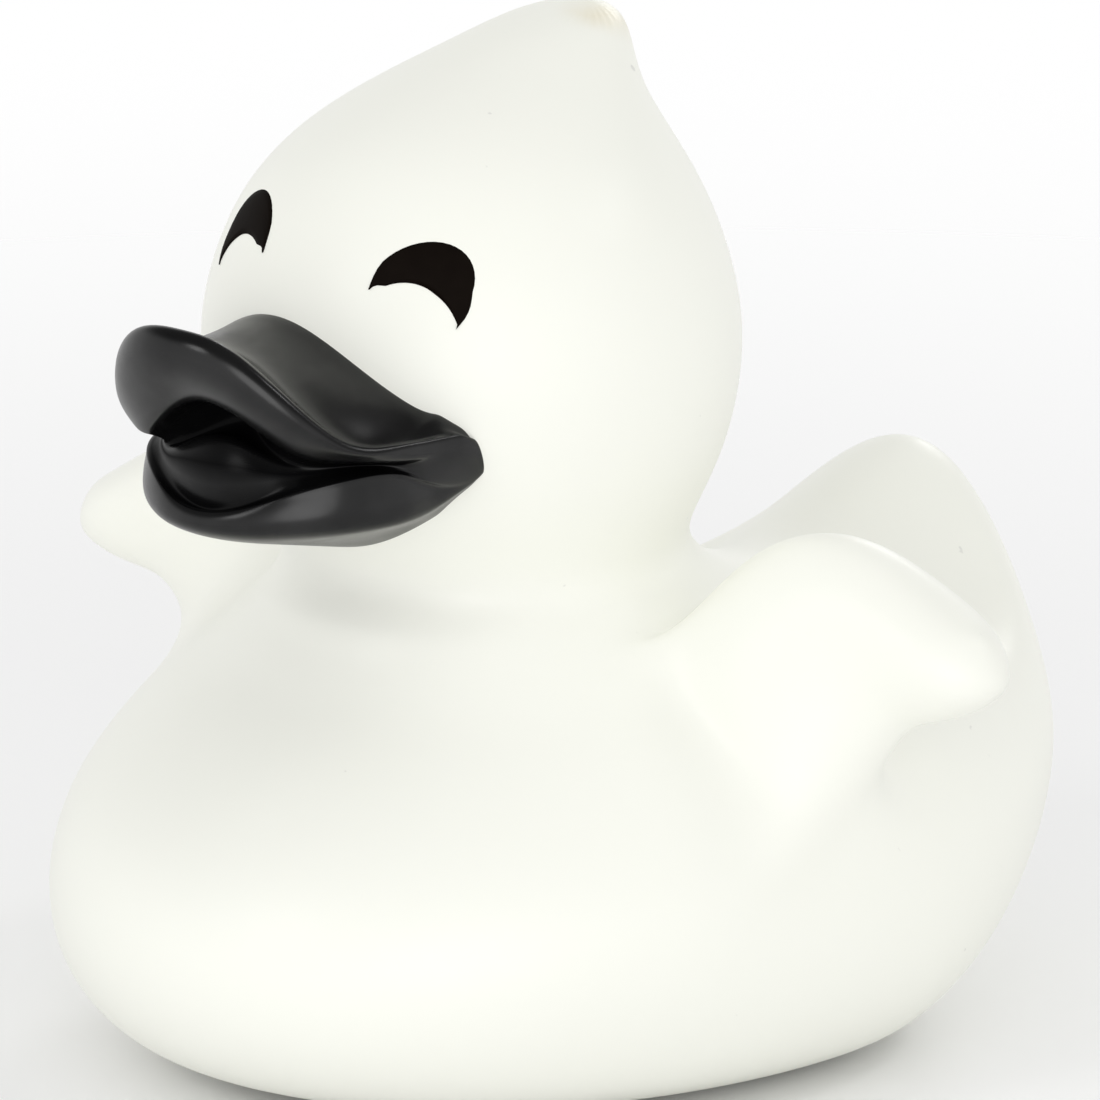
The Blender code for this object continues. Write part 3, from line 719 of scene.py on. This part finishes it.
def eyePaint():
    finish = Finish("eye_paint")
    patches = finish.noise(500.0, 3.0)
    finish.set(baseColor=finish.mix(patches, eyeInk["dark"], eyeInk["brown"]), specular=eyeInk["specular"],
               roughness=eyeInk["roughness"] + eyeInk["rougher"] * patches,
               normal=finish.bump(patches, eyeInk["bump"], eyeInk["grain"]))
    return finish.material


# Pieces

duckSkin = makeSkin()
duckSkin.data.materials.append(whiteVinyl())
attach(duckSkin, "root")
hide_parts("duck")

billPiece = makeBill()
billPiece.data.materials.append(blackPaint())
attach(billPiece, "root")

bpy.context.view_layer.update()
face = BVHTree.FromObject(duckSkin, bpy.context.evaluated_depsgraph_get())
eyeFinish = eyePaint()
for name, side in (("leftEye", 1), ("rightEye", -1)):
    eye = makeEye(name, side, face)
    eye.data.materials.append(eyeFinish)
    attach(eye, "root")
print("pieces made")


# Stage: a white floor that fades into a white world, soft lamps, and the camera at the photograph's angle

stage = {
    "floor": 1.2, "fade": (0.10, 0.35), "world": 0.79, "ceiling": (0.20, 0.60, 0.18),
    "azimuth": 40.0, "elevation": 15.0, "away": 2.0, "lens": 785.0, "sensor": 36.0,
    # the photograph's side in pixels, where the frame's origin falls in it, and pixels a millimetre
    "pixels": 1100, "mark": (568.0, 1013.0), "perMm": 12.0,
    "lampAim": 45 * mm, "lamps": (
        # name, azimuth, elevation, distance, size, strength
        ("softboxFront", 38.0, 8.0, 0.90, 0.60, 1.75),
        ("softboxRight", 130.0, 44.0, 0.60, 0.11, 0.20),
        ("softboxBack", -157.0, 24.0, 0.60, 0.15, 0.28),
        ("softboxLeft", -12.0, 29.0, 0.60, 0.18, 0.32),
    ),
}


def direction(azimuth, elevation):
    turn, rise = math.radians(azimuth), math.radians(elevation)
    return Vector((math.sin(turn) * math.cos(rise), -math.cos(turn) * math.cos(rise), math.sin(rise)))


def makeWorld():
    world = bpy.data.worlds.new("studio")
    bpy.context.scene.world = world
    world.use_nodes = True
    tree = world.node_tree
    background = tree.nodes["Background"]
    path = tree.nodes.new('ShaderNodeLightPath')
    background.inputs["Color"].default_value = (1.0, 1.0, 1.0, 1.0)

    def larger(first, second):
        node = tree.nodes.new('ShaderNodeMath')
        node.operation = 'MAXIMUM'
        tree.links.new(first, node.inputs[0])
        tree.links.new(second, node.inputs[1])
        return node.outputs[0]

    mirrored = larger(path.outputs["Is Glossy Ray"], path.outputs["Is Transmission Ray"])
    seen = larger(path.outputs["Is Camera Ray"], mirrored)
    place = tree.nodes.new('ShaderNodeTexCoord')
    axes = tree.nodes.new('ShaderNodeSeparateXYZ')
    tree.links.new(place.outputs["Generated"], axes.inputs[0])
    ceiling = tree.nodes.new('ShaderNodeMapRange')          # reflections show a grey ceiling
    ceiling.interpolation_type = 'SMOOTHSTEP'
    tree.links.new(axes.outputs["Z"], ceiling.inputs["Value"])
    ceiling.inputs["From Min"].default_value = stage["ceiling"][0]
    ceiling.inputs["From Max"].default_value = stage["ceiling"][1]
    ceiling.inputs["To Min"].default_value = 1.0
    ceiling.inputs["To Max"].default_value = stage["ceiling"][2]
    backdrop = larger(path.outputs["Is Camera Ray"], ceiling.outputs[0])
    strength = tree.nodes.new('ShaderNodeMix')
    tree.links.new(seen, strength.inputs[0])
    strength.inputs[2].default_value = stage["world"]
    tree.links.new(backdrop, strength.inputs[3])
    tree.links.new(strength.outputs[0], background.inputs["Strength"])


def makeFloor():
    bpy.ops.object.select_all(action='DESELECT')
    bpy.ops.mesh.primitive_circle_add(vertices=64, radius=stage["floor"], fill_type='NGON')
    floor = bpy.context.object
    floor.name = "floor"
    finish = Finish("floor_white")
    finish.set(baseColor=(0.95, 0.95, 0.95, 1.0), roughness=0.8, specular=0.1)
    gap = finish.node('ShaderNodeVectorMath', {"operation": 'LENGTH'}, {0: finish.place}, "Value")
    fade = finish.node('ShaderNodeMapRange', {"interpolation_type": 'SMOOTHSTEP'},
                       {"Value": gap, "From Min": stage["fade"][0], "From Max": stage["fade"][1]})
    clear = finish.tree.nodes.new('ShaderNodeBsdfTransparent')
    blend = finish.tree.nodes.new('ShaderNodeMixShader')
    finish.join(fade, blend.inputs[0])
    finish.tree.links.new(finish.shader.outputs[0], blend.inputs[1])
    finish.tree.links.new(clear.outputs[0], blend.inputs[2])
    finish.tree.links.new(blend.outputs[0], finish.tree.nodes["Material Output"].inputs["Surface"])
    floor.data.materials.append(finish.material)


def makeLamps():
    for name, azimuth, elevation, distance, size, strength in stage["lamps"]:
        lamp = bpy.data.lights.new(name, 'AREA')
        lamp.shape = 'DISK'
        lamp.size = size
        lamp.energy = strength
        holder = bpy.data.objects.new(name, lamp)
        bpy.context.scene.collection.objects.link(holder)
        holder.location = Vector((0.0, 0.0, stage["lampAim"])) + direction(azimuth, elevation) * distance
        holder.rotation_mode = 'QUATERNION'
        holder.rotation_quaternion = (-direction(azimuth, elevation)).to_track_quat('-Z', 'Y')


def makeCamera():
    lens = bpy.data.cameras.new("camera")
    lens.sensor_width = stage["sensor"]
    lens.lens = stage["lens"]
    camera = bpy.data.objects.new("camera", lens)
    bpy.context.scene.collection.objects.link(camera)
    back = direction(stage["azimuth"], stage["elevation"])
    azimuth = math.radians(stage["azimuth"])
    right = Vector((math.cos(azimuth), math.sin(azimuth), 0.0))
    up = back.cross(right)
    half = stage["pixels"] / 2
    across = (half - stage["mark"][0]) / stage["perMm"] * mm
    rise = (stage["mark"][1] - half) / stage["perMm"] * mm
    aim = right * across + up * rise
    camera.location = aim + back * stage["away"]
    camera.rotation_mode = 'QUATERNION'
    camera.rotation_quaternion = (-back).to_track_quat('-Z', 'Y')
    lens.clip_start = 0.01
    lens.clip_end = 20.0
    bpy.context.scene.camera = camera


makeWorld()
makeFloor()
makeLamps()
makeCamera()
bpy.context.scene.view_settings.view_transform = 'Standard'
print("stage set")
